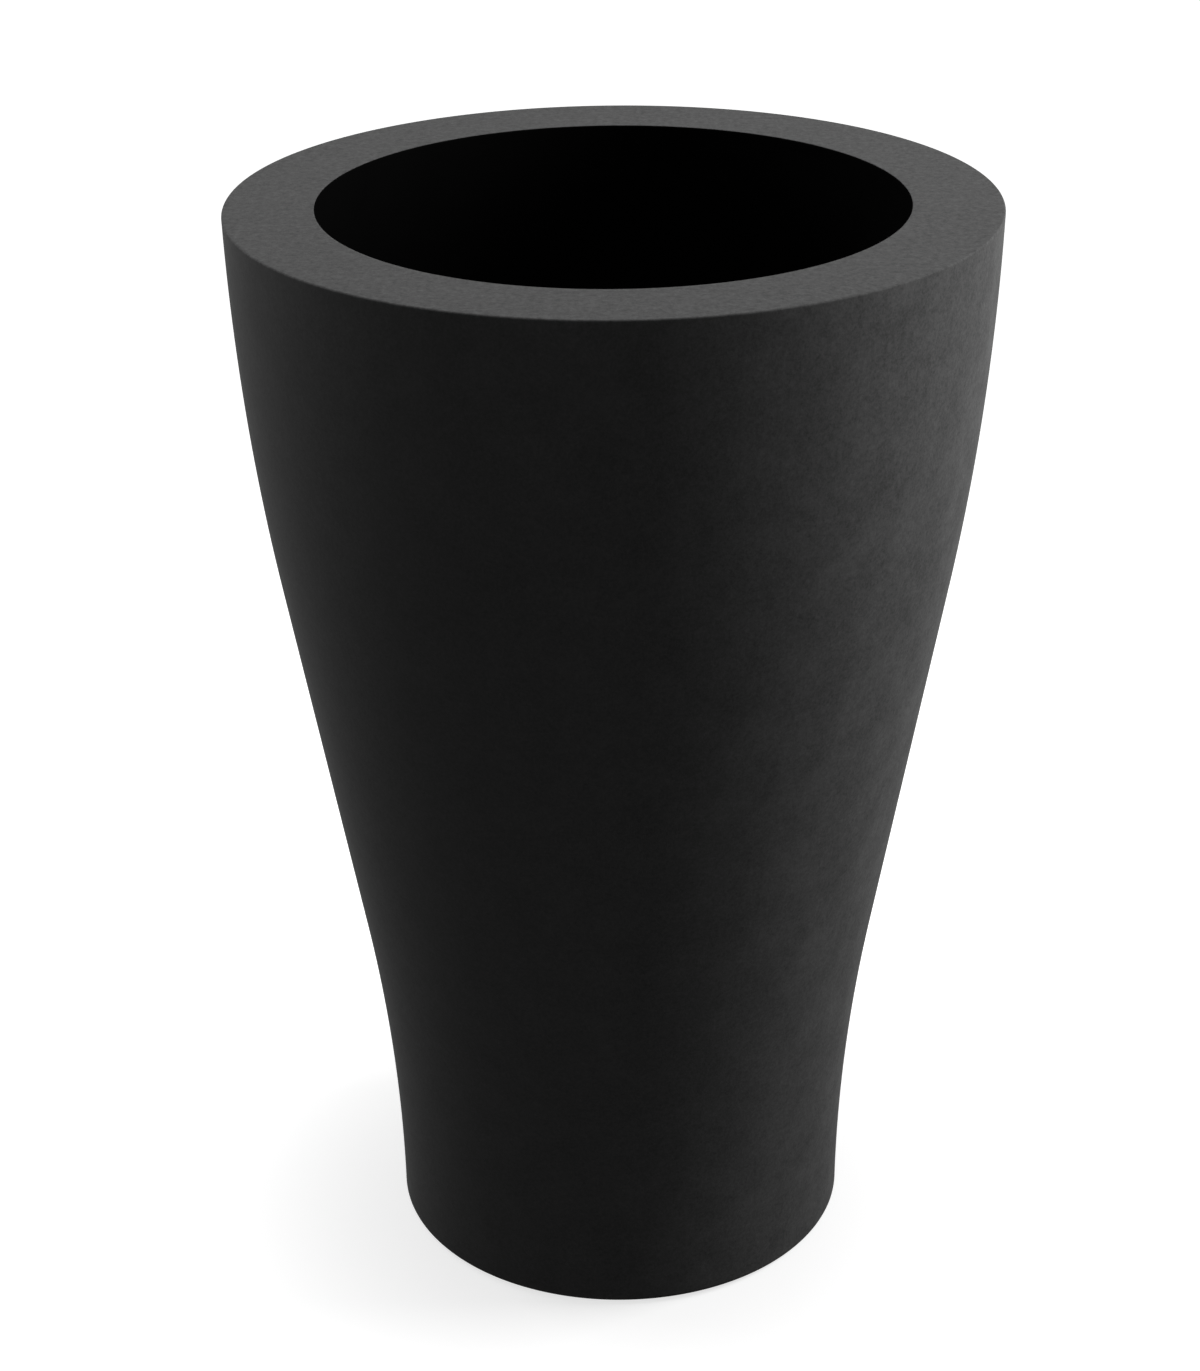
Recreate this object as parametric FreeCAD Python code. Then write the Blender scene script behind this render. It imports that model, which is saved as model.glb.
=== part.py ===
# Tall floor planter: a rotomoulded shell with a flat turned-in rim,
# and a lift-out grow pot with a water reserve.
# Millimetres, +Z up, origin on the floor under the middle of the foot. The -Y side faces the viewer.
import FreeCAD
import Part
import math
import os

Vector = FreeCAD.Vector

# Outer shell, overall form
pot_height = 900.0            # floor to rim
rim_radius = 300.0            # outer edge of the rim
rim_width = 71.0              # flat top of the rim, from its outer edge to the opening
rim_angle = 1.06              # degrees, lean of the wall where it meets the rim
foot_radius = 193.0           # outer edge of the foot
foot_curve_height = 282.0     # from the foot up to the straight flank
shoulder_curve_height = 303.0  # from the straight flank up to the rim
skin = 6.0                    # wall of the rotomoulded shell
rim_chamfer = 1.2             # crisp edges of the rim
foot_chamfer = 4.0            # outer edge of the foot

# Seat ring, bonded under the rim: flange, collar and ledge
collar_depth = 160.0          # rim down to the ledge
ledge_width = 15.0            # shelf that carries the grow pot
seat_wall = 5.0
seat_flange_width = 24.0      # glued face under the rim, past the collar

# Outer shell, underside
ring_width = 30.0             # foot ring that carries the pads
recess_depth = 16.0           # hollow inside the foot ring

# Foot pads
pad_count = 4
pad_radius = 9.0
pad_height = 2.5
pad_chamfer = 0.6

# Drain in the shell's floor
drain_bore_radius = 15.0      # thread's bore in the bush
bush_wall = 5.0               # from the bore to the waist that passes through the floor
bush_flange_overlap = 8.0     # how far the flange and the nut reach past the waist
bush_flange = 4.0
floor_hole_clearance = 0.5    # radial, between the bush and the hole in the floor
nut_clearance = 0.05          # radial, between the bush and its nut
nut_height = 7.0
nut_chamfer = 1.2
bush_above_nut = 2.0
plug_clearance = 0.05         # radial, between plug and bush
plug_head_overlap = 6.5       # head past the bore
plug_head_height = 3.5
plug_grip_height = 4.5
plug_grip_thickness = 7.0
plug_thread_length = 12.0
seal_thickness = 2.0
seal_clearance = 0.3          # radial, between plug and seal
seal_edge_gap = 1.5           # seal inside the head's edge

# Grow pot
pot_wall = 3.5
pot_flange_thickness = 4.0
pot_flange_gap = 6.0          # flange to collar, all round
pot_ledge_gap = 4.0           # body to the ledge's inner edge
pot_depth = 440.0             # under the flange
pot_taper = 36.0              # how much narrower the bottom is
pot_foot_width = 12.0         # standing ring under the grow pot
pot_foot_height = 4.0
pot_foot_draft = 1.5
pot_chamfer = 6.0             # bottom corner of the wall
overflow_radius = 5.0
overflow_below_platform = 10.0

# Lift handles
handle_bar_half = 4.5         # half of the bar's width and height
handle_bar_chamfer = 2.0
handle_half_angle = 38.0      # degrees, half of the arc that each handle spans
handle_gap = 0.3              # bar to flange when folded down
handle_swing = 100.0          # degrees, from folded to the stop
handle_pin_radius = 2.5
handle_pin_clearance = 0.05
ear_thickness = 6.0
ear_gap = 0.5                 # between an ear and the end of the bar
ear_head = 4.0                # material round the pin's hole
heel_length = 8.5             # stop heel, measured from the pin's axis
heel_thickness = 2.5

# Water reserve
reserve_height = 78.0         # grow pot's floor to the underside of the platform
platform_thickness = 3.0
platform_gap = 1.5            # platform's edge to the grow pot's wall
platform_lip = 9.0            # turned-down edge
platform_wall = 2.5
slot_width = 5.0              # radial slots of the platform
slot_length = 24.0
slot_pitch = 27.0             # between neighbours, at the middle of a ring of slots
slot_margin = 4.5             # least web between a slot and any edge, and between rings of slots
cup_count = 4
cup_circle_radius = 92.0
cup_radius = 26.0
cup_wall = 2.0
cup_slot_width = 4.0
cup_slot_height = 42.0
cup_slot_base = 8.0           # solid foot under the slots
cup_flange_width = 5.0        # shelf round the cup's mouth, under the platform
cup_flange_thickness = 2.5

# Filler tube with the water gauge
tube_radius = 16.0
tube_wall = 2.0
tube_edge_gap = 2.0           # tube to the step of the grow pot's floor
tube_above_ledge = 22.0
tube_socket_clearance = 0.4
tube_socket_wall = 2.6
tube_socket_height = 14.0
tube_notch_width = 9.0
tube_notch_height = 22.0
cap_clearance = 0.3
cap_wall = 2.6
cap_top = 3.0
cap_skirt = 14.0
cap_rib_count = 18
cap_rib_width = 1.6
cap_rib_height = 0.9
float_clearance = 2.4         # float inside the tube
float_height = 30.0
float_rest_gap = 0.3
float_chamfer = 3.0
stem_radius = 2.2
stem_socket_depth = 12.0
stem_socket_clearance = 0.05
stem_hole_clearance = 0.9     # tip in the cap's hole
tip_radius = 3.0
tip_length = 26.0
tip_chamfer = 1.2
tip_above_cap = 6.0           # with the reserve empty

# Places that follow from the sizes above
opening_radius = rim_radius - rim_width
rim_under = pot_height - skin
foot_level = pad_height
ledge_level = pot_height - collar_depth
ledge_radius = opening_radius - ledge_width
ring_radius = foot_radius - ring_width
floor_under = foot_level + recess_depth
floor_top = floor_under + skin
bush_waist_radius = drain_bore_radius + bush_wall
bush_under = floor_under - bush_flange
flange_radius = opening_radius - pot_flange_gap
flange_top = ledge_level + pot_flange_thickness
pot_top_radius = ledge_radius - pot_ledge_gap
pot_bottom_radius = pot_top_radius - pot_taper
pot_bottom = ledge_level - pot_depth
pot_floor = pot_bottom + pot_foot_height + pot_wall
pot_floor_radius = pot_bottom_radius - pot_foot_width
platform_under = pot_floor + reserve_height
platform_top = platform_under + platform_thickness
tube_place = Vector(0, -(pot_floor_radius - tube_radius - tube_edge_gap), 0)
tube_top = ledge_level + tube_above_ledge
cap_level = tube_top + cap_top
handle_radius = (pot_top_radius - pot_wall + flange_radius) / 2
pivot_level = flange_top + handle_gap + handle_bar_half


def point(radius, height):
    return Vector(radius, 0, height)


def turned(edges):
    """Solid of revolution about Z from the closed run of edges of its half section."""
    return Part.Face(Part.Wire(edges)).revolve(Vector(0, 0, 0), Vector(0, 0, 1), 360)


def straight_runs(points):
    """Closed run of straight edges through the points of a half section."""
    ends = points[1:] + points[:1]
    return [Part.makeLine(start, end) for start, end in zip(points, ends)]


def around(shape, count, start=0.0, centre=Vector(0, 0, 0)):
    """Copies of a shape, evenly spaced about an upright axis."""
    copies = []
    for number in range(count):
        copy = shape.copy()
        copy.rotate(centre, Vector(0, 0, 1), start + number * 360.0 / count)
        copies.append(copy)
    return copies


def flank_angle():
    """Lean of the straight flank that joins the two curves of the wall to the foot and to the rim."""
    flank_height = pot_height - foot_level - foot_curve_height - shoulder_curve_height
    gain = rim_radius - foot_radius
    top = math.radians(rim_angle)
    low, high = 0.0, math.radians(80.0)
    for _ in range(60):
        lean = (low + high) / 2
        reach = foot_curve_height * math.tan(lean / 2) + flank_height * math.tan(lean)
        reach += shoulder_curve_height * math.tan((lean + top) / 2)
        low, high = (lean, high) if reach < gain else (low, lean)
    return (low + high) / 2


class WallCurve:
    """The S-curve of the wall, moved inwards by an offset: hollow at the foot, full at the shoulder."""

    def __init__(self, offset):
        lean = flank_angle()
        top = math.radians(rim_angle)
        foot_curve = foot_curve_height / math.sin(lean)
        shoulder_curve = shoulder_curve_height / (math.sin(lean) - math.sin(top))
        self.foot_centre = point(foot_radius + foot_curve, foot_level)
        self.foot_curve = foot_curve + offset
        self.shoulder_centre = point(
            rim_radius - shoulder_curve * math.cos(top), pot_height + shoulder_curve * math.sin(top)
        )
        self.shoulder_curve = shoulder_curve - offset
        out = point(math.cos(lean), -math.sin(lean))
        self.flank_foot = self.foot_centre - out * self.foot_curve
        self.flank_head = self.shoulder_centre + out * self.shoulder_curve

    def on_foot(self, height):
        rise = height - self.foot_centre.z
        return point(self.foot_centre.x - math.sqrt(self.foot_curve ** 2 - rise ** 2), height)

    def on_shoulder(self, height):
        rise = height - self.shoulder_centre.z
        return point(self.shoulder_centre.x + math.sqrt(self.shoulder_curve ** 2 - rise ** 2), height)

    def edges(self, low, high):
        """Edges from the low height up to the high one."""
        foot_middle = self.on_foot((low + self.flank_foot.z) / 2)
        shoulder_middle = self.on_shoulder((high + self.flank_head.z) / 2)
        foot = Part.Arc(self.on_foot(low), foot_middle, self.flank_foot).toShape()
        flank = Part.makeLine(self.flank_foot, self.flank_head)
        shoulder = Part.Arc(self.flank_head, shoulder_middle, self.on_shoulder(high)).toShape()
        return [foot, flank, shoulder]


def outer_shell():
    """One even skin: drain hole, recessed floor, foot ring, S-curved wall and flat rim."""
    outside = WallCurve(0.0)
    inside = WallCurve(skin)
    trough = foot_level + skin
    rim_shoulder = outside.on_shoulder(pot_height - rim_chamfer)
    head = [
        rim_shoulder,
        point(rim_shoulder.x - rim_chamfer, pot_height),
        point(opening_radius + rim_chamfer, pot_height),
        point(opening_radius, pot_height - rim_chamfer),
        point(opening_radius, rim_under),
        inside.on_shoulder(rim_under),
    ]
    base = [
        inside.on_foot(trough),
        point(ring_radius + skin, trough),
        point(ring_radius + skin, floor_top),
        point(bush_waist_radius + floor_hole_clearance, floor_top),
        point(bush_waist_radius + floor_hole_clearance, floor_under),
        point(ring_radius, floor_under),
        point(ring_radius, foot_level),
        point(foot_radius - foot_chamfer, foot_level),
        outside.on_foot(foot_level + foot_chamfer),
    ]
    edges = outside.edges(foot_level + foot_chamfer, rim_shoulder.z)
    edges += [Part.makeLine(start, end) for start, end in zip(head, head[1:])]
    edges += inside.edges(trough, rim_under)
    edges += [Part.makeLine(start, end) for start, end in zip(base, base[1:])]
    return turned(Part.__sortEdges__(edges))


def liner_seat():
    """Ring under the rim: glued flange, collar in line with the opening, ledge for the grow pot."""
    collar_outside = opening_radius + seat_wall
    section = [
        point(opening_radius, rim_under),
        point(collar_outside + seat_flange_width, rim_under),
        point(collar_outside + seat_flange_width, rim_under - seat_wall),
        point(collar_outside, rim_under - seat_wall),
        point(collar_outside, ledge_level - seat_wall),
        point(ledge_radius, ledge_level - seat_wall),
        point(ledge_radius, ledge_level),
        point(opening_radius, ledge_level),
    ]
    return turned(straight_runs(section))


def foot_pads():
    """Rubber pads stuck under the foot ring."""
    middle = ring_radius + (ring_width - foot_chamfer) / 2
    pad = Part.makeCylinder(pad_radius, pad_height, Vector(middle, 0, 0))
    sole = [edge for edge in pad.Edges if edge.BoundBox.ZMax < pad_chamfer / 2]
    pad = pad.makeChamfer(pad_chamfer, sole)
    return Part.makeCompound(around(pad, pad_count, 180.0 / pad_count))


def drain_bush():
    """Threaded bush that passes up through the floor, with a flange under it."""
    head = floor_top + nut_height + bush_above_nut
    section = [
        point(drain_bore_radius, bush_under),
        point(bush_waist_radius + bush_flange_overlap, bush_under),
        point(bush_waist_radius + bush_flange_overlap, floor_under),
        point(bush_waist_radius, floor_under),
        point(bush_waist_radius, head),
        point(drain_bore_radius, head),
    ]
    return turned(straight_runs(section))


def drain_nut():
    """Hexagon nut that clamps the floor between itself and the bush's flange."""
    across_corners = bush_waist_radius + bush_flange_overlap
    corners = []
    for number in range(6):
        turn = math.radians(60.0 * number)
        corners.append(Vector(across_corners * math.cos(turn), across_corners * math.sin(turn), floor_top))
    hexagon = Part.Face(Part.Wire(straight_runs(corners))).extrude(Vector(0, 0, nut_height))
    base = Vector(0, 0, floor_top)
    crown_radius = across_corners - nut_chamfer
    crown = Part.makeCone(crown_radius + nut_height, crown_radius, nut_height, base)
    thread = Part.makeCylinder(bush_waist_radius + nut_clearance, nut_height, base)
    return hexagon.common(crown).cut(thread)


def drain_seal():
    """Flat ring under the bush."""
    inner = drain_bore_radius - plug_clearance + seal_clearance
    outer = drain_bore_radius + plug_head_overlap - seal_edge_gap
    ring = Part.makeCylinder(outer, seal_thickness, Vector(0, 0, bush_under - seal_thickness))
    return ring.cut(Part.makeCylinder(inner, seal_thickness, Vector(0, 0, bush_under - seal_thickness)))


def drain_plug():
    """Screw plug with a round head and a grip bar across it."""
    head_top = bush_under - seal_thickness
    head_radius = drain_bore_radius + plug_head_overlap
    head_under = head_top - plug_head_height
    shank_length = plug_thread_length + seal_thickness
    shank = Part.makeCylinder(drain_bore_radius - plug_clearance, shank_length, Vector(0, 0, head_top))
    head = Part.makeCylinder(head_radius, plug_head_height, Vector(0, 0, head_under))
    grip_half = head_radius - plug_grip_thickness / 2
    corner = Vector(-grip_half, -plug_grip_thickness / 2, head_under - plug_grip_height)
    grip = Part.makeBox(2 * grip_half, plug_grip_thickness, plug_grip_height, corner)
    upright = [edge for edge in grip.Edges if edge.BoundBox.ZLength > plug_grip_height / 2]
    grip = grip.makeFillet(0.45 * plug_grip_thickness, upright)
    return shank.fuse([head, grip]).removeSplitter()


def pot_wall_radius(height):
    """Inside radius of the grow pot's wall."""
    return pot_bottom_radius - pot_wall + pot_taper * (height - pot_bottom) / pot_depth


def handle_ears():
    """Four upright ears on the flange, one past each end of each handle, drilled along Y for the pins."""
    half_turn = math.radians(handle_half_angle)
    inner_face = handle_radius * math.sin(half_turn) + handle_bar_half + ear_gap
    crown_place = Vector(handle_radius * math.cos(half_turn), inner_face, pivot_level)
    head = handle_pin_radius + ear_head
    foot = ledge_level + pot_flange_thickness / 2
    block_corner = Vector(crown_place.x - head, inner_face, foot)
    block = Part.makeBox(2 * head, ear_thickness, pivot_level - foot, block_corner)
    along = Vector(0, 1, 0)
    crown = Part.makeCylinder(head, ear_thickness, crown_place, along)
    hole = Part.makeCylinder(handle_pin_radius + handle_pin_clearance, ear_thickness, crown_place, along)
    flange_column = Part.makeCylinder(flange_radius, pot_height - foot, Vector(0, 0, foot))
    ear = block.fuse(crown).cut(hole).common(flange_column)
    other = ear.mirror(Vector(0, 0, 0), Vector(0, 1, 0))
    opposite = [shape.mirror(Vector(0, 0, 0), Vector(1, 0, 0)) for shape in (ear, other)]
    return [ear, other] + opposite


def grow_pot():
    """Tapered inner pot: standing ring, wall, flange on the ledge, handle ears and overflow holes."""
    step = pot_floor_radius
    section = [
        point(0, pot_bottom + pot_foot_height),
        point(step, pot_bottom + pot_foot_height),
        point(step + pot_foot_draft, pot_bottom),
        point(pot_bottom_radius - pot_chamfer, pot_bottom),
        point(pot_bottom_radius + pot_taper * pot_chamfer / pot_depth, pot_bottom + pot_chamfer),
        point(pot_top_radius, ledge_level),
        point(flange_radius, ledge_level),
        point(flange_radius, flange_top),
        point(pot_wall_radius(flange_top), flange_top),
        point(pot_wall_radius(pot_bottom + pot_wall), pot_bottom + pot_wall),
        point(step + pot_wall, pot_bottom + pot_wall),
        point(step, pot_floor),
        point(0, pot_floor),
    ]
    pot = turned(straight_runs(section))
    overflow_level = platform_under - overflow_below_platform
    overflow_length = 2 * pot_top_radius
    overflow_place = Vector(-overflow_length / 2, 0, overflow_level)
    overflow = Part.makeCylinder(overflow_radius, overflow_length, overflow_place, Vector(1, 0, 0))
    return pot.fuse(handle_ears()).cut(overflow).removeSplitter()


def lift_handle():
    """Right-hand swing handle, folded down on the flange: bar, pins and stop heels."""
    half_turn = math.radians(handle_half_angle)
    pivot_x = handle_radius * math.cos(half_turn)
    end_y = handle_radius * math.sin(half_turn)
    along = Vector(0, 1, 0)
    flat = handle_bar_half - handle_bar_chamfer
    corners = []
    for out, up in [(1, -1), (1, 1), (-1, 1), (-1, -1)]:
        ends = [(out * handle_bar_half, up * flat), (out * flat, up * handle_bar_half)]
        ends = ends if out * up > 0 else ends[::-1]
        corners += [point(handle_radius + across, pivot_level + rise) for across, rise in ends]
    section = Part.Face(Part.Wire(straight_runs(corners)))
    bar = section.revolve(Vector(0, 0, 0), Vector(0, 0, 1), 2 * handle_half_angle)
    bar.rotate(Vector(0, 0, 0), Vector(0, 0, 1), -handle_half_angle)
    knuckle_place = Vector(pivot_x, end_y - handle_bar_half, pivot_level)
    knuckle = Part.makeCylinder(handle_bar_half, 2 * handle_bar_half, knuckle_place, along)
    pin_length = handle_bar_half + ear_gap + ear_thickness
    pin = Part.makeCylinder(handle_pin_radius, pin_length, Vector(pivot_x, end_y, pivot_level), along)
    heel_place = Vector(pivot_x - heel_length, knuckle_place.y, flange_top + handle_gap)
    heel = Part.makeBox(heel_length, 2 * handle_bar_half, heel_thickness, heel_place)
    heel.rotate(Vector(pivot_x, 0, pivot_level), Vector(0, 1, 0), handle_swing)
    near_end = knuckle.fuse([pin, heel])
    far_end = near_end.mirror(Vector(0, 0, 0), Vector(0, 1, 0))
    return bar.fuse([near_end, far_end]).removeSplitter()


def cup_places():
    places = []
    for number in range(cup_count):
        turn = math.radians((number + 0.5) * 360.0 / cup_count)
        places.append(Vector(cup_circle_radius * math.cos(turn), cup_circle_radius * math.sin(turn), 0))
    return places


def wick_cups():
    """Slotted cups for soil that stand on the grow pot's floor and carry the platform on their flanges."""
    cups = []
    for place in cup_places():
        base = place + Vector(0, 0, pot_floor)
        cup = Part.makeCylinder(cup_radius, reserve_height, base)
        shelf = Vector(0, 0, reserve_height - cup_flange_thickness)
        flange = Part.makeCylinder(cup_radius + cup_flange_width, cup_flange_thickness, base + shelf)
        hollow = Part.makeCylinder(cup_radius - cup_wall, reserve_height, base + Vector(0, 0, cup_wall))
        slot_corner = base + Vector(-cup_radius, -cup_slot_width / 2, cup_slot_base)
        slot = Part.makeBox(2 * cup_radius, cup_slot_width, cup_slot_height, slot_corner)
        cups.append(cup.fuse(flange).cut([hollow] + around(slot, 4, centre=base)[:2]))
    return Part.makeCompound(cups)


def platform_slots(edge_radius):
    """Rings of radial slots, without those that would break into a cup or the tube's socket."""
    kept_clear = [(place, cup_radius + cup_flange_width) for place in cup_places()]
    kept_clear.append((tube_place, tube_radius + tube_socket_clearance + tube_socket_wall))
    slots = []
    middle = slot_margin + slot_length
    while middle + slot_length / 2 + slot_margin < edge_radius:
        count = int(2 * math.pi * middle / slot_pitch)
        corner = Vector(middle - slot_length / 2, -slot_width / 2, platform_under)
        slot = Part.makeBox(slot_length, slot_width, platform_thickness, corner)
        for copy in around(slot, count):
            centre = copy.CenterOfMass - Vector(0, 0, copy.CenterOfMass.z)
            reach = math.hypot(slot_length, slot_width) / 2 + slot_margin
            if all(centre.distanceToPoint(place) > radius + reach for place, radius in kept_clear):
                slots.append(copy)
        middle += slot_length + slot_margin
    return slots


def soil_platform():
    """Slotted false floor: turned-down edge, mouths over the cups, socket for the filler tube."""
    edge_radius = pot_wall_radius(platform_under - platform_lip) - platform_gap
    lip_foot = Vector(0, 0, platform_under - platform_lip)
    plate = Part.makeCylinder(edge_radius, platform_thickness + platform_lip, lip_foot)
    plate = plate.cut(Part.makeCylinder(edge_radius - platform_wall, platform_lip, lip_foot))
    socket_hole_radius = tube_radius + tube_socket_clearance
    socket_height = platform_thickness + tube_socket_height
    socket_base = tube_place + Vector(0, 0, platform_under)
    socket = Part.makeCylinder(socket_hole_radius + tube_socket_wall, socket_height, socket_base)
    openings = [Part.makeCylinder(socket_hole_radius, socket_height, socket_base)]
    for place in cup_places():
        mouth_base = place + Vector(0, 0, platform_under)
        openings.append(Part.makeCylinder(cup_radius - cup_wall, platform_thickness, mouth_base))
    openings += platform_slots(edge_radius)
    return plate.fuse(socket).cut(openings).removeSplitter()


def filler_tube():
    """Upright tube that stands on the grow pot's floor, notched there to let water through."""
    base = tube_place + Vector(0, 0, pot_floor)
    length = tube_top - pot_floor
    tube = Part.makeCylinder(tube_radius, length, base)
    bore = Part.makeCylinder(tube_radius - tube_wall, length, base)
    notch_corner = base - Vector(tube_radius, tube_notch_width / 2, 0)
    notch = Part.makeBox(2 * tube_radius, tube_notch_width, tube_notch_height, notch_corner)
    return tube.cut([bore] + around(notch, 4, centre=base)[:2])


def filler_cap():
    """Push-on cap with a ribbed skirt and a hole for the gauge's tip."""
    skirt_bore = tube_radius + cap_clearance
    outer = skirt_bore + cap_wall
    base = tube_place + Vector(0, 0, tube_top - cap_skirt)
    cap = Part.makeCylinder(outer, cap_skirt + cap_top, base)
    rib_corner = base + Vector(skirt_bore, -cap_rib_width / 2, 0)
    rib = Part.makeBox(cap_wall + cap_rib_height, cap_rib_width, cap_skirt, rib_corner)
    cap = cap.fuse(around(rib, cap_rib_count, centre=base))
    cap = cap.cut(Part.makeCylinder(skirt_bore, cap_skirt, base))
    hole = Part.makeCylinder(tip_radius + stem_hole_clearance, cap_skirt + cap_top, base)
    return cap.cut(hole).removeSplitter()


def level_float():
    """Round float with a socket for the stem."""
    base = tube_place + Vector(0, 0, pot_floor + float_rest_gap)
    radius = tube_radius - tube_wall - float_clearance
    body = Part.makeCylinder(radius, float_height, base)
    rims = [edge for edge in body.Edges if isinstance(edge.Curve, Part.Circle)]
    body = body.makeChamfer(float_chamfer, rims)
    socket_base = base + Vector(0, 0, float_height - stem_socket_depth)
    return body.cut(Part.makeCylinder(stem_radius + stem_socket_clearance, stem_socket_depth, socket_base))


def stem_ends():
    """Heights of the stem's foot in the float and of its head under the tip."""
    foot = pot_floor + float_rest_gap + float_height - stem_socket_depth
    head = cap_level + tip_above_cap - tip_length
    return foot, head


def level_stem():
    """Rod from the float up to the tip."""
    foot, head = stem_ends()
    return Part.makeCylinder(stem_radius, head - foot, tube_place + Vector(0, 0, foot))


def level_tip():
    """Coloured end of the rod, which shows above the cap."""
    _, head = stem_ends()
    tip = Part.makeCylinder(tip_radius, tip_length, tube_place + Vector(0, 0, head))
    crown = [edge for edge in tip.Edges if edge.BoundBox.ZMin > head + tip_length / 2]
    return tip.makeChamfer(tip_chamfer, [edge for edge in crown if isinstance(edge.Curve, Part.Circle)])


def main():
    right_handle = lift_handle()
    pieces = {
        "outer_shell": outer_shell(),
        "liner_seat": liner_seat(),
        "foot_pads": foot_pads(),
        "drain_bush": drain_bush(),
        "drain_nut": drain_nut(),
        "drain_seal": drain_seal(),
        "drain_plug": drain_plug(),
        "grow_pot": grow_pot(),
        "right_lift_handle": right_handle,
        "left_lift_handle": right_handle.mirror(Vector(0, 0, 0), Vector(1, 0, 0)),
        "soil_platform": soil_platform(),
        "wick_cups": wick_cups(),
        "filler_tube": filler_tube(),
        "filler_cap": filler_cap(),
        "level_float": level_float(),
        "level_stem": level_stem(),
        "level_tip": level_tip(),
    }
    os.makedirs("parts", exist_ok=True)
    for name, shape in pieces.items():
        shape.exportStep(f"parts/{name}.step")
        volume = shape.Volume / 1000
        print(f"{name}: {len(shape.Solids)} solid(s), {volume:.1f} cm3, valid {shape.isValid()}")


main()
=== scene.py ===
import bpy
import bmesh
import math
from mathutils import Matrix, Vector


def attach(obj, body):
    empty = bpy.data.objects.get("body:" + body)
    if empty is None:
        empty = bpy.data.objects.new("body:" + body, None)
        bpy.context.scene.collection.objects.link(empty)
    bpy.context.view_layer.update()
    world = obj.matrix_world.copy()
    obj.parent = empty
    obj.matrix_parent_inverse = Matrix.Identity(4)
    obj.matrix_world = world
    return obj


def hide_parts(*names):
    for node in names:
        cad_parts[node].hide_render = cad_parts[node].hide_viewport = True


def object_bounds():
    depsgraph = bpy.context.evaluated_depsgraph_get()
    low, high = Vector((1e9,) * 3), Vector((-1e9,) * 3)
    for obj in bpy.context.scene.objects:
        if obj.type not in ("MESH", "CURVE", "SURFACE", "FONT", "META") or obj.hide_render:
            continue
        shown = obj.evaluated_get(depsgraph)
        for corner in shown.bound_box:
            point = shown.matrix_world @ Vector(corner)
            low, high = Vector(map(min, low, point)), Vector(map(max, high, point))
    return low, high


# tall flower pot with a lift-out grow pot: sizes in the dictionaries are millimetres, meshes are metres

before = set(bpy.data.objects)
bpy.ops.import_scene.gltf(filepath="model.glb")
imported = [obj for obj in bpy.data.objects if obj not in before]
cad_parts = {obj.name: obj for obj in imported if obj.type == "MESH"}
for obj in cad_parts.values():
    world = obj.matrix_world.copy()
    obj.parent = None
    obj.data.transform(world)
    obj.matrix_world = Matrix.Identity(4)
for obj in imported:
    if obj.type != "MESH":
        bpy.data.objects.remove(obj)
cadLow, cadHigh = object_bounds()
print("stage: packed part loaded")


def hexToLinear(text):
    levels = [int(text[i:i + 2], 16) / 255 for i in (1, 3, 5)]
    return tuple(v / 12.92 if v <= 0.04045 else ((v + 0.055) / 1.055) ** 2.4 for v in levels) + (1.0,)


def perMetre(millimetres):  # texture scale for a feature of that size
    return 1000.0 / millimetres


def inScene(thing):
    bpy.context.scene.collection.objects.link(thing)
    return thing


def addNode(tree, kind, inputs=None, **settings):  # inputs: socket to a value or to another node's socket
    node = tree.nodes.new(kind)
    for name, value in settings.items():
        setattr(node, name, value)
    for key, value in (inputs or {}).items():
        if isinstance(value, bpy.types.NodeSocket):
            tree.links.new(value, node.inputs[key])
        else:
            node.inputs[key].default_value = value
    return node


# materials

def newMaterial(name):
    material = bpy.data.materials.new(name)
    material.use_nodes = True
    material.node_tree.nodes.clear()
    return material, material.node_tree


plasticIor = 1.5
fineGrain = dict(octaves=2.0, keep=0.6, strength=0.2)  # what the mould's surface leaves on every plastic
mixFactor, mixFirst, mixSecond, mixResult = 0, 6, 7, 2  # places of a Mix node's colour sockets


def plasticSkin(tree, place, tone, look):  # colour by the tone, fine grain, one gloss all over
    colour = addNode(tree, "ShaderNodeMix", {
        mixFactor: tone, mixFirst: hexToLinear(look["dark"]), mixSecond: hexToLinear(look["light"])},
        data_type="RGBA")
    grain = addNode(tree, "ShaderNodeTexNoise", {
        "Vector": place, "Scale": perMetre(look["grain"]),
        "Detail": fineGrain["octaves"], "Roughness": fineGrain["keep"]})
    bump = addNode(tree, "ShaderNodeBump", {
        "Height": grain.outputs["Fac"], "Strength": fineGrain["strength"],
        "Distance": look["relief"] / 1000})
    skin = addNode(tree, "ShaderNodeBsdfPrincipled", {
        "Base Color": colour.outputs[mixResult], "Roughness": look["roughness"],
        "Specular IOR Level": look["specular"], "IOR": plasticIor, "Normal": bump.outputs["Normal"]})
    addNode(tree, "ShaderNodeOutputMaterial", {"Surface": skin.outputs["BSDF"]})


shellFinish = dict(
    dark="#414141", light="#5b5b5b", roughness=0.8, specular=0.06,
    grain=1.5, relief=0.4,  # width and depth of the pimples, coarser than life so that they show
    rimFoot=2.5, rimHead=0.7,  # below the top, where the rim's own marks set in and are full
    sideFrom=-150.0, sideTo=200.0, leftShare=0.45, rightShare=1.1,  # the wall's marks, left to right: stronger on the right-hand wall, as painted raking light over the real mottle
)
shellMarks = {  # size of the coarsest marks, octaves, how the finer ones keep up, share on wall and rim
    "cloud": (36.0, 3.0, 0.6, 1.15, 0.3),
    "speckle": (6.0, 3.0, 0.9, 1.3, 2.5),
    "grit": (2.6, 1.0, 0.9, 1.15, 0.5),  # drawn coarser than the powder, so that it shows
}


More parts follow.
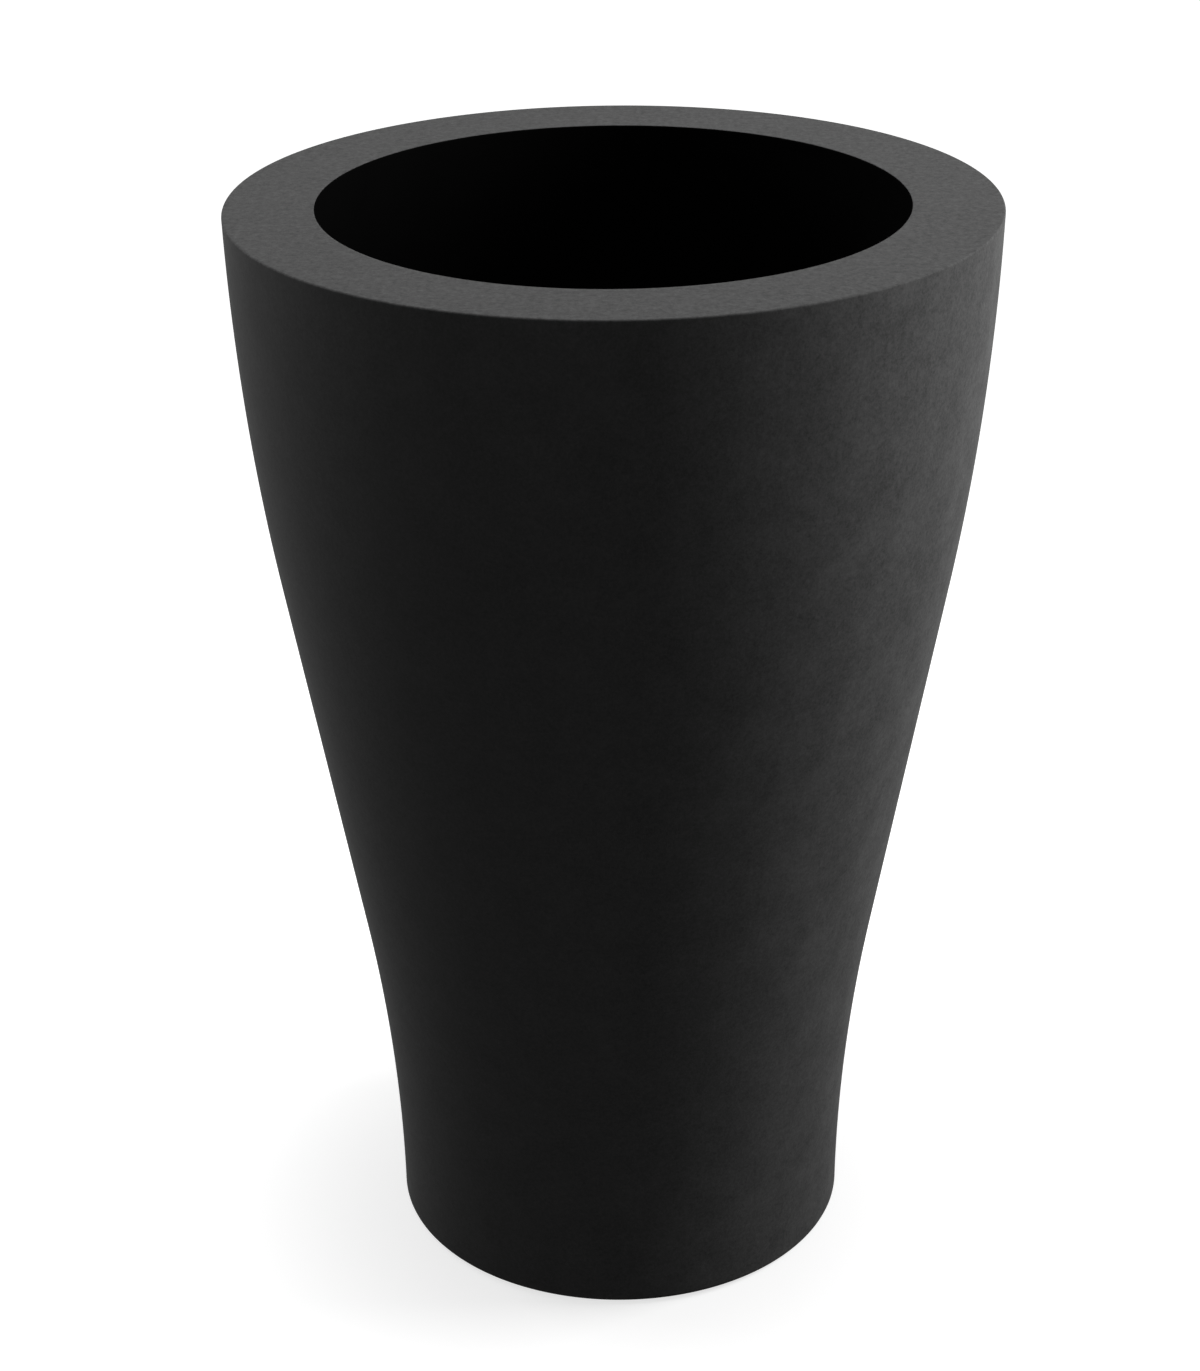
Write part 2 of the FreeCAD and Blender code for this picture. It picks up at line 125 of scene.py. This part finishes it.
def rotomouldedPolyethylene():  # powder melted against a blasted mould: dead matt, clouded, finely pimpled
    look = shellFinish
    material, tree = newMaterial("rotomoulded polyethylene")
    place = addNode(tree, "ShaderNodeTexCoord").outputs["Object"]
    where = addNode(tree, "ShaderNodeSeparateXYZ", {"Vector": place})
    # painted raking light: the marks grow stronger towards the right-hand wall, where the light rakes across
    # it
    rakingLightShare = addNode(tree, "ShaderNodeMapRange", {
        "Value": where.outputs["X"], "From Min": look["sideFrom"] / 1000, "From Max": look["sideTo"] / 1000,
        "To Min": look["leftShare"], "To Max": look["rightShare"]})
    onRim = addNode(tree, "ShaderNodeMapRange", {  # the flat rim is speckled more and clouded less
        "Value": where.outputs["Z"], "From Min": cadHigh[2] - look["rimFoot"] / 1000,
        "From Max": cadHigh[2] - look["rimHead"] / 1000})
    middle = 0.5  # of a noise, and halfway between the two colours
    tone = middle
    for size, octaves, keep, wallShare, rimShare in shellMarks.values():
        noise = addNode(tree, "ShaderNodeTexNoise", {
            "Vector": place, "Scale": perMetre(size), "Detail": octaves, "Roughness": keep})
        onWall = addNode(tree, "ShaderNodeMath", {
            0: rakingLightShare.outputs["Result"], 1: wallShare}, operation="MULTIPLY")
        weight = addNode(tree, "ShaderNodeMapRange", {
            "Value": onRim.outputs["Result"], "To Min": onWall.outputs[0], "To Max": rimShare})
        swing = addNode(tree, "ShaderNodeMath", {0: noise.outputs["Fac"], 1: middle}, operation="SUBTRACT")
        tone = addNode(tree, "ShaderNodeMath", {
            0: swing.outputs[0], 1: weight.outputs["Result"], 2: tone}, operation="MULTIPLY_ADD").outputs[0]
    plasticSkin(tree, place, tone, look)
    return material


pigment = dict(octaves=3.0, keep=0.6)  # how the mottle is spread


def mouldedPlastic(name, relief=0.2, **look):  # even colour with a faint mottle, grain from the mould
    material, tree = newMaterial(name)
    place = addNode(tree, "ShaderNodeTexCoord").outputs["Object"]
    tone = addNode(tree, "ShaderNodeTexNoise", {
        "Vector": place, "Scale": perMetre(look["mottle"]),
        "Detail": pigment["octaves"], "Roughness": pigment["keep"]})
    plasticSkin(tree, place, tone.outputs["Fac"], dict(look, relief=relief))
    return material


shellMaterial = rotomouldedPolyethylene()
insideShadeMaterial = mouldedPlastic(  # painted shade: near-black with no gloss at all, so that the inside reads as one dark hollow
    "matt polyethylene painted as inside shade", dark="#080808", light="#0b0b0b",
    roughness=0.9, specular=0.0, mottle=40.0, grain=1.5)
potMaterial = mouldedPlastic(  # lightly grained mould: black with a broad soft sheen on the curves
    "injection-moulded polypropylene", dark="#222224", light="#2a2a2c",
    roughness=0.55, specular=0.3, mottle=30.0, grain=0.9)
handleMaterial = mouldedPlastic(  # smoother mould: a shade greyer than the pot, with a waxy sheen
    "moulded grey nylon", dark="#3a3b3e", light="#434448",
    roughness=0.45, specular=0.4, mottle=20.0, grain=0.7)
drainMaterial = mouldedPlastic(  # fibres just under the skin: a dusty, uneven black
    "moulded glass-filled polypropylene", dark="#2c2c2d", light="#363637",
    roughness=0.5, specular=0.35, mottle=12.0, grain=0.6)
rubberMaterial = mouldedPlastic(  # pressed in a sanded mould: flat black that hardly shines
    "moulded black rubber", dark="#1d1d1d", light="#272727",
    roughness=0.9, specular=0.2, mottle=8.0, grain=0.5)
foamMaterial = mouldedPlastic(  # fine cut cells: chalky white
    "cut closed-cell foam", dark="#dcdcd6", light="#ecece8",
    roughness=0.9, specular=0.2, mottle=4.0, grain=0.8)
rodMaterial = mouldedPlastic(  # drawn through a smooth die: milky white with a clear highlight
    "extruded white polystyrene", dark="#d9d9d4", light="#e4e4e0",
    roughness=0.4, specular=0.5, mottle=15.0, grain=0.6)
tipMaterial = mouldedPlastic(  # polished mould: bright red with a small sharp highlight
    "polished red ABS", dark="#b3211d", light="#c22a24",
    roughness=0.3, specular=0.5, mottle=10.0, grain=0.6)
print("stage: materials ready")


# sections, as lists of (radius, height)

edgeSteps = 6  # faces across a rounded edge


def cornerArc(before, corner, after, radius):
    here = Vector(corner)
    back = (Vector(before) - here).normalized()
    ahead = (Vector(after) - here).normalized()
    half = math.acos(max(-1.0, min(1.0, back.dot(ahead)))) / 2
    reach = radius / math.tan(half)
    middle = here + (back + ahead).normalized() * (radius / math.sin(half))
    start = here + back * reach - middle
    end = here + ahead * reach - middle
    sweep = math.atan2(start.x * end.y - start.y * end.x, start.dot(end))
    points = []
    for i in range(edgeSteps + 1):
        a = sweep * i / edgeSteps
        points.append((middle.x + start.x * math.cos(a) - start.y * math.sin(a),
                       middle.y + start.x * math.sin(a) + start.y * math.cos(a)))
    return points


# corners: (radius, height, edge radius), hold: how far from a rounded edge its support points lie
def roundedLoop(corners, hold=0.7, closed=True):
    points = []
    count = len(corners)
    for i, (r, z, edge) in enumerate(corners):
        if edge <= 0:
            points.append((r, z))
            continue
        before, after = corners[i - 1][:2], corners[(i + 1) % count][:2]
        arc = cornerArc(before, (r, z), after, edge)
        toBefore = (Vector(before) - Vector(arc[0])).normalized()
        toAfter = (Vector(after) - Vector(arc[-1])).normalized()
        points.append(tuple(Vector(arc[0]) + toBefore * hold))
        points += arc
        points.append(tuple(Vector(arc[-1]) + toAfter * hold))
    return points + points[:1] if closed else points


# geometry node trees, and plain meshes from them

def newTree(name, sockets):  # sockets: the inputs' names and kinds
    tree = bpy.data.node_groups.new(name, "GeometryNodeTree")
    for socket, kind in sockets.items():
        tree.interface.new_socket(socket, in_out="INPUT", socket_type="NodeSocket" + kind)
    tree.interface.new_socket("Piece", in_out="OUTPUT", socket_type="NodeSocketGeometry")
    return tree, addNode(tree, "NodeGroupInput").outputs


def endTree(tree, shape, finish):  # real faces of one material
    real = addNode(tree, "GeometryNodeRealizeInstances", {"Geometry": shape})
    painted = addNode(tree, "GeometryNodeSetMaterial", {
        "Geometry": real.outputs["Geometry"], "Material": finish})
    addNode(tree, "NodeGroupOutput", {"Piece": painted.outputs["Geometry"]})
    return tree


def withNodes(source, tree, values):
    modifier = source.modifiers.new("shape", "NODES")
    modifier.node_group = tree
    sockets = {item.name: item.identifier for item in tree.interface.items_tree if item.in_out == "INPUT"}
    for name, value in values.items():
        modifier[sockets[name]] = value
    return source


def settle(source, name, finish):  # plain mesh of one material from what the modifiers give, faces outwards
    source.update_tag()
    graph = bpy.context.evaluated_depsgraph_get()
    mesh = bpy.data.meshes.new_from_object(source.evaluated_get(graph))
    bpy.data.objects.remove(source)
    work = bmesh.new()
    work.from_mesh(mesh)
    bmesh.ops.recalc_face_normals(work, faces=work.faces)
    work.to_mesh(mesh)
    work.free()
    mesh.name = name
    mesh.materials.clear()
    mesh.materials.append(finish)
    mesh.polygons.foreach_set("material_index", [0] * len(mesh.polygons))
    return inScene(bpy.data.objects.new(name, mesh))


turnedEdges = dict(seam=0.02, crease=40.0)  # points this near are joined, edges over this angle stay sharp


def turnedTree():  # a grid of points, each set on the section and turned about the axis
    tree, entry = newTree("turnedSection", {"Section": "Geometry", "Segments": "Int", "Finish": "Material"})
    size = addNode(tree, "GeometryNodeAttributeDomainSize", {"Geometry": entry["Section"]}, component="MESH")
    points = size.outputs["Point Count"]
    rows = addNode(tree, "FunctionNodeIntegerMath", {0: entry["Segments"], 1: 1}, operation="ADD")
    sheet = addNode(tree, "GeometryNodeMeshGrid", {"Vertices X": rows.outputs[0], "Vertices Y": points})
    index = addNode(tree, "GeometryNodeInputIndex").outputs[0]
    along = addNode(tree, "FunctionNodeIntegerMath", {0: index, 1: points}, operation="MODULO")
    turn = addNode(tree, "FunctionNodeIntegerMath", {0: index, 1: points}, operation="DIVIDE_FLOOR")
    step = addNode(tree, "ShaderNodeMath", {0: math.tau, 1: entry["Segments"]}, operation="DIVIDE")
    angle = addNode(tree, "ShaderNodeMath", {0: turn.outputs[0], 1: step.outputs[0]}, operation="MULTIPLY")
    place = addNode(tree, "GeometryNodeInputPosition").outputs[0]
    sample = addNode(tree, "GeometryNodeSampleIndex", {
        "Geometry": entry["Section"], "Value": place, "Index": along.outputs[0]}, data_type="FLOAT_VECTOR")
    spun = addNode(tree, "ShaderNodeVectorRotate", {
        "Vector": sample.outputs["Value"], "Axis": (0, 0, 1), "Angle": angle.outputs[0]},
        rotation_type="AXIS_ANGLE")
    wrapped = addNode(tree, "GeometryNodeSetPosition", {
        "Geometry": sheet.outputs["Mesh"], "Position": spun.outputs["Vector"]})
    sealed = addNode(tree, "GeometryNodeMergeByDistance", {
        "Geometry": wrapped.outputs["Geometry"], "Distance": turnedEdges["seam"] / 1000})
    smooth = addNode(tree, "GeometryNodeSetShadeSmooth", {"Geometry": sealed.outputs["Geometry"]})
    return endTree(tree, smooth.outputs["Geometry"], entry["Finish"])


turned = turnedTree()


def turnSection(name, section, segments, finish):
    line = bpy.data.meshes.new(name + " section")
    points = [(r / 1000, 0, z / 1000) for r, z in section]
    line.from_pydata(points, [(i, i + 1) for i in range(len(points) - 1)], [])
    source = inScene(bpy.data.objects.new(name, line))
    withNodes(source, turned, {"Segments": segments, "Finish": finish})
    piece = settle(source, name, finish)
    piece.data.set_sharp_from_angle(angle=math.radians(turnedEdges["crease"]))
    return piece


# shell

shellSizes = dict(
    height=900.0, rimRadius=300.0, rimWidth=71.0, rimLean=1.06,  # lean in degrees
    footRadius=193.0, footLevel=2.5, footCurve=282.0, shoulderCurve=303.0,
    skin=6.0, rimEdge=1.4, footEdge=4.5, innerEdge=1.0, ringEdge=1.6, drainEdge=0.5,
    ringWidth=30.0, recess=16.0, drainHole=20.5,
    segments=288, outsideSteps=22, insideSteps=14,
    unlitFrom=30.0, inwards=0.5,  # faces above this that look inwards by this share get the painted shade
)
leanSearch = dict(steepest=80.0, halvings=60)  # degrees, and how often the range is halved


def wallLean():  # lean of the straight flank at which foot, flank and shoulder reach the rim
    s = shellSizes
    flank = s["height"] - s["footLevel"] - s["footCurve"] - s["shoulderCurve"]
    gain = s["rimRadius"] - s["footRadius"]
    top = math.radians(s["rimLean"])
    least, most = 0.0, math.radians(leanSearch["steepest"])
    for _ in range(leanSearch["halvings"]):
        lean = (least + most) / 2
        reach = s["footCurve"] * math.tan(lean / 2) + flank * math.tan(lean)
        reach += s["shoulderCurve"] * math.tan((lean + top) / 2)
        least, most = (lean, most) if reach < gain else (least, lean)
    return lean


def wallCurve(inset, low, high, steps):  # hollow foot, straight flank, full shoulder, all moved inwards
    s = shellSizes
    lean, top = wallLean(), math.radians(s["rimLean"])
    footRound = s["footCurve"] / math.sin(lean)
    shoulderRound = s["shoulderCurve"] / (math.sin(lean) - math.sin(top))
    footMiddle = (s["footRadius"] + footRound, s["footLevel"])
    shoulderMiddle = (s["rimRadius"] - shoulderRound * math.cos(top),
                      s["height"] + shoulderRound * math.sin(top))
    footRound += inset
    shoulderRound -= inset
    flankFoot = footMiddle[1] + footRound * math.sin(lean)
    flankHead = shoulderMiddle[1] - shoulderRound * math.sin(lean)
    points = []
    for i in range(steps + 1):
        z = low + (flankFoot - low) * i / steps
        points.append((footMiddle[0] - math.sqrt(footRound ** 2 - (z - footMiddle[1]) ** 2), z))
    for i in range(steps + 1):
        z = flankHead + (high - flankHead) * i / steps
        points.append((shoulderMiddle[0] + math.sqrt(shoulderRound ** 2 - (z - shoulderMiddle[1]) ** 2), z))
    return points


def shellSection():
    s = shellSizes
    opening = s["rimRadius"] - s["rimWidth"]
    ring = s["footRadius"] - s["ringWidth"]
    foot = s["footLevel"]
    floorUnder = foot + s["recess"]
    floorTop = floorUnder + s["skin"]
    rimUnder = s["height"] - s["skin"]
    outside = wallCurve(0.0, foot, s["height"], s["outsideSteps"])
    inside = wallCurve(s["skin"], foot + s["skin"], rimUnder, s["insideSteps"])
    corners = [(r, z, 0.0) for r, z in outside]
    corners[0] = outside[0] + (s["footEdge"],)
    corners[-1] = outside[-1] + (s["rimEdge"],)
    corners += [(opening, s["height"], s["rimEdge"]), (opening, rimUnder, 0.0)]
    corners += [(r, z, 0.0) for r, z in reversed(inside)]
    corners[-1] = inside[0] + (s["innerEdge"],)
    corners[-len(inside)] = inside[-1] + (s["innerEdge"],)
    corners += [
        (ring + s["skin"], foot + s["skin"], s["innerEdge"]), (ring + s["skin"], floorTop, s["innerEdge"]),
        (s["drainHole"], floorTop, s["drainEdge"]), (s["drainHole"], floorUnder, s["drainEdge"]),
        (ring, floorUnder, s["innerEdge"]), (ring, foot, s["ringEdge"]),
    ]
    return roundedLoop(corners)


shell = turnSection("shellSkin", shellSection(), shellSizes["segments"], shellMaterial)
shell.data.materials.append(insideShadeMaterial)
for face in shell.data.polygons:  # painted shade: the inside, from the rim's inner edge down, takes the near-black shade material
    x, y, z = face.center
    inwards = -(face.normal.x * x + face.normal.y * y) / math.hypot(x, y)
    if inwards > shellSizes["inwards"] and z > shellSizes["unlitFrom"] / 1000:
        face.material_index = 1
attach(shell, "shell")
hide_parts("outer_shell")
print("stage: shell", len(shell.data.polygons), "faces")


# seat ring under the rim, in line with the opening

seatSizes = dict(collar=160.0, wall=5.0, flange=24.0, ledgeWidth=15.0, edge=0.8, segments=256)


def seatSection():
    s = seatSizes
    opening = shellSizes["rimRadius"] - shellSizes["rimWidth"]
    top = shellSizes["height"] - shellSizes["skin"]
    ledge = shellSizes["height"] - s["collar"]
    outer = opening + s["wall"]
    corners = [
        (opening, top), (outer + s["flange"], top), (outer + s["flange"], top - s["wall"]),
        (outer, top - s["wall"]), (outer, ledge - s["wall"]),
        (opening - s["ledgeWidth"], ledge - s["wall"]), (opening - s["ledgeWidth"], ledge),
        (opening, ledge),
    ]
    edges = [0.0] + [s["edge"]] * (len(corners) - 1)  # the joint under the rim is tight
    return roundedLoop([corner + (edge,) for corner, edge in zip(corners, edges)])


# painted shade: the seat ring is coloured near-black, as the unlit inside
seat = turnSection("seatRing", seatSection(), seatSizes["segments"], insideShadeMaterial)
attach(seat, "shell")
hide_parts("liner_seat")
print("stage: seat ring")


# foot pads: one turned pad, copied round the foot ring

padSizes = dict(
    count=4, circle=176.0, start=45.0,  # start in degrees
    radius=9.0, soleEdge=0.6, topEdge=0.2, hold=0.3, segments=64,
)


def ringTree():
    tree, entry = newTree("ringOfCopies", {
        "Copy": "Geometry", "Count": "Int", "Radius": "Float", "Start": "Float", "Finish": "Material"})
    ring = addNode(tree, "GeometryNodeMeshCircle", {"Vertices": entry["Count"], "Radius": entry["Radius"]})
    turn = addNode(tree, "ShaderNodeCombineXYZ", {"Z": entry["Start"]})
    start = addNode(tree, "GeometryNodeTransform", {
        "Geometry": ring.outputs["Mesh"], "Rotation": turn.outputs["Vector"]})
    copies = addNode(tree, "GeometryNodeInstanceOnPoints", {
        "Points": start.outputs["Geometry"], "Instance": entry["Copy"]})
    return endTree(tree, copies.outputs["Instances"], entry["Finish"])


def footPads():
    s = padSizes
    height = shellSizes["footLevel"]
    section = roundedLoop([
        (0.0, 0.0, 0.0), (s["radius"], 0.0, s["soleEdge"]), (s["radius"], height, s["topEdge"]),
        (0.0, height, 0.0)], hold=s["hold"], closed=False)
    pad = turnSection("pad", section, s["segments"], rubberMaterial)
    withNodes(pad, ringTree(), {
        "Count": s["count"], "Radius": s["circle"] / 1000, "Start": math.radians(s["start"]),
        "Finish": rubberMaterial})
    return settle(pad, "footPads", rubberMaterial)


pads = footPads()
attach(pads, "shell")
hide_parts("foot_pads")
print("stage: foot pads")


# the other pieces keep the CAD shape, with smooth curved faces and moulded edges

mouldedEdges = dict(weld=0.005, flat=0.4, crease=28.0, segments=3)  # mm, then degrees, then faces across


def softEdgedCopy(node, edge, finish):  # edge: width of the rounding
    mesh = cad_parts[node].data.copy()
    first, *rest = node.split("_")
    name = first + "".join(word.capitalize() for word in rest)
    for layer in [a for a in mesh.attributes if a.name == "custom_normal"]:
        mesh.attributes.remove(layer)
    work = bmesh.new()
    work.from_mesh(mesh)
    bmesh.ops.remove_doubles(work, verts=work.verts, dist=mouldedEdges["weld"] / 1000)
    bmesh.ops.dissolve_limit(
        work, angle_limit=math.radians(mouldedEdges["flat"]), verts=work.verts, edges=work.edges)
    work.to_mesh(mesh)
    work.free()
    mesh.shade_smooth()
    source = inScene(bpy.data.objects.new(name, mesh))
    bevel = source.modifiers.new("moulded edges", "BEVEL")
    bevel.width = edge / 1000
    bevel.segments = mouldedEdges["segments"]
    bevel.limit_method = "ANGLE"
    bevel.angle_limit = math.radians(mouldedEdges["crease"])
    bevel.harden_normals = True
    return settle(source, name, finish)


innerPieces = {  # node: body, slot, material, edge
    "grow_pot": ("liner", "inner_plastic", potMaterial, 1.1),
    "soil_platform": ("liner", "inner_plastic", potMaterial, 0.4),
    "wick_cups": ("liner", "inner_plastic", potMaterial, 0.4),
    "filler_tube": ("liner", "inner_plastic", potMaterial, 0.4),
    "filler_cap": ("cap", "handle_plastic", handleMaterial, 0.3),
    "right_lift_handle": ("right_handle", "handle_plastic", handleMaterial, 1.1),
    "left_lift_handle": ("left_handle", "handle_plastic", handleMaterial, 1.1),
    "level_float": ("gauge", "float_foam", foamMaterial, 0.8),
    "level_stem": ("gauge", "stem_plastic", rodMaterial, 0.2),
    "level_tip": ("gauge", "tip_plastic", tipMaterial, 0.3),
    "drain_bush": ("shell", "drain_plastic", drainMaterial, 0.5),
    "drain_nut": ("shell", "drain_plastic", drainMaterial, 0.4),
    "drain_seal": ("seal", "pad_rubber", rubberMaterial, 0.3),
}
for node, (body, slot, finish, edge) in innerPieces.items():
    piece = softEdgedCopy(node, edge, finish)
    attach(piece, body)
    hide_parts(node)
    print("piece", node, len(piece.data.vertices), "points", len(piece.data.polygons), "faces")
print("stage: inner pieces")


# drain plug: its shank is cut back to the core of the thread, then the ridge is wound round it

plugThread = dict(
    edge=0.5, shank=14.95, core=13.4, crest=14.9, sink=0.4,
    shankFoot=12.45, shankReach=15.55,  # what lies above and within these belongs to the shank
    pitch=4.0, turns=2.4, start=15.4, rootWidth=2.6, crestWidth=1.0, stepsPerTurn=72, crease=35.0,
)


def threadTree():
    tree, entry = newTree("woundThread", {
        "Blank": "Geometry", "Pitch": "Float", "Turns": "Float", "Start": "Float",
        "Root": "Float", "Crest": "Float", "Root Width": "Float", "Crest Width": "Float",
        "Steps": "Int", "Finish": "Material"})
    depth = addNode(tree, "ShaderNodeMath", {
        0: entry["Crest"], 1: entry["Root"]}, operation="SUBTRACT").outputs[0]
    middle = addNode(tree, "ShaderNodeMath", {
        0: depth, 1: 0.5, 2: entry["Root"]}, operation="MULTIPLY_ADD").outputs[0]
    length = addNode(tree, "ShaderNodeMath", {
        0: entry["Pitch"], 1: entry["Turns"]}, operation="MULTIPLY").outputs[0]
    helix = addNode(tree, "GeometryNodeCurveSpiral", {  # reversed, it climbs as a right-hand thread
        "Resolution": entry["Steps"], "Rotations": entry["Turns"],
        "Start Radius": middle, "End Radius": middle, "Height": length, "Reverse": True})
    lift = addNode(tree, "ShaderNodeCombineXYZ", {"Z": entry["Start"]})
    placed = addNode(tree, "GeometryNodeTransform", {
        "Geometry": helix.outputs["Curve"], "Translation": lift.outputs["Vector"]})
    upright = addNode(tree, "GeometryNodeSetCurveNormal", {"Curve": placed.outputs["Geometry"]}, mode="Z_UP")
    flat = addNode(tree, "GeometryNodeCurvePrimitiveQuadrilateral", {
        "Height": depth, "Bottom Width": entry["Root Width"], "Top Width": entry["Crest Width"],
        "Offset": 0.0}, mode="TRAPEZOID")
    outwards = addNode(tree, "GeometryNodeTransform", {
        "Geometry": flat.outputs["Curve"], "Rotation": (0.0, 0.0, -math.pi / 2)})
    ridge = addNode(tree, "GeometryNodeCurveToMesh", {
        "Curve": upright.outputs["Curve"], "Profile Curve": outwards.outputs["Geometry"], "Fill Caps": True})
    whole = addNode(tree, "GeometryNodeMeshBoolean", {
        "Mesh 2": entry["Blank"]}, operation="UNION", solver="EXACT")
    tree.links.new(ridge.outputs["Mesh"], whole.inputs["Mesh 2"])  # this socket takes both meshes
    smooth = addNode(tree, "GeometryNodeSetShadeSmooth", {"Geometry": whole.outputs["Mesh"]})
    return endTree(tree, smooth.outputs["Geometry"], entry["Finish"])


def threadedPlug():
    s = plugThread
    plug = softEdgedCopy("drain_plug", s["edge"], drainMaterial)
    inset = (s["shank"] - s["core"]) / 1000
    for point in plug.data.vertices:
        reach = math.hypot(point.co.x, point.co.y)
        onShank = s["core"] / 1000 < reach < s["shankReach"] / 1000
        if onShank and point.co.z > s["shankFoot"] / 1000:
            point.co.x *= 1 - inset / reach
            point.co.y *= 1 - inset / reach
    sizes = {"Pitch": s["pitch"], "Start": s["start"], "Root": s["core"] - s["sink"], "Crest": s["crest"],
             "Root Width": s["rootWidth"], "Crest Width": s["crestWidth"]}
    values = {name: size / 1000 for name, size in sizes.items()}
    values.update({"Turns": s["turns"], "Steps": s["stepsPerTurn"], "Finish": drainMaterial})
    piece = settle(withNodes(plug, threadTree(), values), "drainPlug", drainMaterial)
    piece.data.set_sharp_from_angle(angle=math.radians(s["crease"]))
    return piece


plug = threadedPlug()
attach(plug, "plug")
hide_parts("drain_plug")
print("stage: drain plug", len(plug.data.polygons), "faces")


# floor, light and camera, all in metres

stageLook = dict(
    floorHalf=9.0, floorGlow=0.72, glowNear=0.17, glowFar=0.52, floorSeen="#b8b8b8", floorBounce="#333333",
    worldColour="#ffffff", worldSeen=1.0, worldLight=0.13,
)


def shownRays(tree):  # 1 for camera, glossy and transmission rays
    path = addNode(tree, "ShaderNodeLightPath")
    first = addNode(tree, "ShaderNodeMath", {
        0: path.outputs["Is Camera Ray"], 1: path.outputs["Is Glossy Ray"]}, operation="MAXIMUM")
    return addNode(tree, "ShaderNodeMath", {
        0: first.outputs[0], 1: path.outputs["Is Transmission Ray"]}, operation="MAXIMUM").outputs[0]


def floorMaterial():
    look = stageLook
    material, tree = newMaterial("white studio floor")
    bounce = addNode(tree, "ShaderNodeBsdfDiffuse", {"Color": hexToLinear(look["floorBounce"])})
    place = addNode(tree, "ShaderNodeTexCoord").outputs["Object"]
    away = addNode(tree, "ShaderNodeVectorMath", {0: place}, operation="LENGTH")
    rise = addNode(tree, "ShaderNodeMapRange", {  # the shadow lies near the pot, and the far floor is white
        "Value": away.outputs["Value"], "From Min": look["glowNear"], "From Max": look["glowFar"],
        "To Min": look["floorGlow"], "To Max": 1.0}, interpolation_type="SMOOTHSTEP")
    glow = addNode(tree, "ShaderNodeEmission", {"Strength": rise.outputs["Result"]})
    lit = addNode(tree, "ShaderNodeBsdfDiffuse", {"Color": hexToLinear(look["floorSeen"])})
    seen = addNode(tree, "ShaderNodeAddShader", {0: glow.outputs[0], 1: lit.outputs[0]})
    either = addNode(tree, "ShaderNodeMixShader", {
        0: shownRays(tree), 1: bounce.outputs[0], 2: seen.outputs[0]})
    addNode(tree, "ShaderNodeOutputMaterial", {"Surface": either.outputs[0]})
    return material


def studioFloor():
    half = stageLook["floorHalf"]
    mesh = bpy.data.meshes.new("studio floor")
    corners = [(-half, -half, 0), (half, -half, 0), (half, half, 0), (-half, half, 0)]
    mesh.from_pydata(corners, [], [(0, 1, 2, 3)])
    mesh.materials.append(floorMaterial())
    inScene(bpy.data.objects.new("studio floor", mesh))


def studioWorld():
    world = bpy.data.worlds.new("studio")
    world.use_nodes = True
    tree = world.node_tree
    tree.nodes.clear()
    white = hexToLinear(stageLook["worldColour"])
    dim = addNode(tree, "ShaderNodeBackground", {"Color": white, "Strength": stageLook["worldLight"]})
    seen = addNode(tree, "ShaderNodeBackground", {"Color": white, "Strength": stageLook["worldSeen"]})
    either = addNode(tree, "ShaderNodeMixShader", {
        0: shownRays(tree), 1: dim.outputs[0], 2: seen.outputs[0]})
    addNode(tree, "ShaderNodeOutputWorld", {"Surface": either.outputs[0]})
    bpy.context.scene.world = world


softboxes = {
    "top softbox": dict(place=(0.0, 0.3, 2.9), aim=(0.0, 0.0, 0.9), size=(1.6, 1.6), watts=25.7),
    "right softbox": dict(place=(1.65, 0.16, 1.36), aim=(0.0, 0.0, 1.71), size=(0.95, 1.1), watts=37.9),
    "left softbox": dict(place=(-1.89, 0.96, 1.63), aim=(0.0, 0.0, 2.43), size=(1.2, 1.1), watts=23.6),
}


def addSoftbox(name, look):
    lamp = bpy.data.lights.new(name, "AREA")
    lamp.shape = "RECTANGLE"
    lamp.size, lamp.size_y = look["size"]
    lamp.energy = look["watts"]
    box = inScene(bpy.data.objects.new(name, lamp))
    place = Vector(look["place"])
    box.location = place
    box.rotation_euler = (Vector(look["aim"]) - place).to_track_quat("-Z", "Y").to_euler()


cameraLook = dict(
    place=(0.0, -2.1427, 1.4961), pitch=0.4404, yaw=-0.0065, roll=-0.0103,  # radians
    focalPixels=2847.4, tallPixels=1371, sensor=36.0, farEnd=60.0,  # the sensor fits the picture's height
)


def addCamera():
    look = cameraLook
    pitch, yaw, roll = look["pitch"], look["yaw"], look["roll"]
    ahead = Vector((math.sin(yaw) * math.cos(pitch), math.cos(yaw) * math.cos(pitch), -math.sin(pitch)))
    right = Vector((math.cos(yaw), -math.sin(yaw), 0))
    up = right.cross(ahead)
    side = right * math.cos(roll) + up * math.sin(roll)
    rise = up * math.cos(roll) - right * math.sin(roll)
    data = bpy.data.cameras.new("photo camera")
    data.sensor_width = look["sensor"]
    data.lens = look["sensor"] * look["focalPixels"] / look["tallPixels"]
    data.clip_end = look["farEnd"]
    camera = inScene(bpy.data.objects.new("photo camera", data))
    turnMatrix = Matrix((side, rise, -ahead)).transposed().to_4x4()
    camera.matrix_world = Matrix.Translation(look["place"]) @ turnMatrix
    bpy.context.scene.camera = camera


studioFloor()
studioWorld()
for name, look in softboxes.items():
    addSoftbox(name, look)
addCamera()
bpy.context.scene.view_settings.view_transform = "Standard"
print("stage: studio and camera")
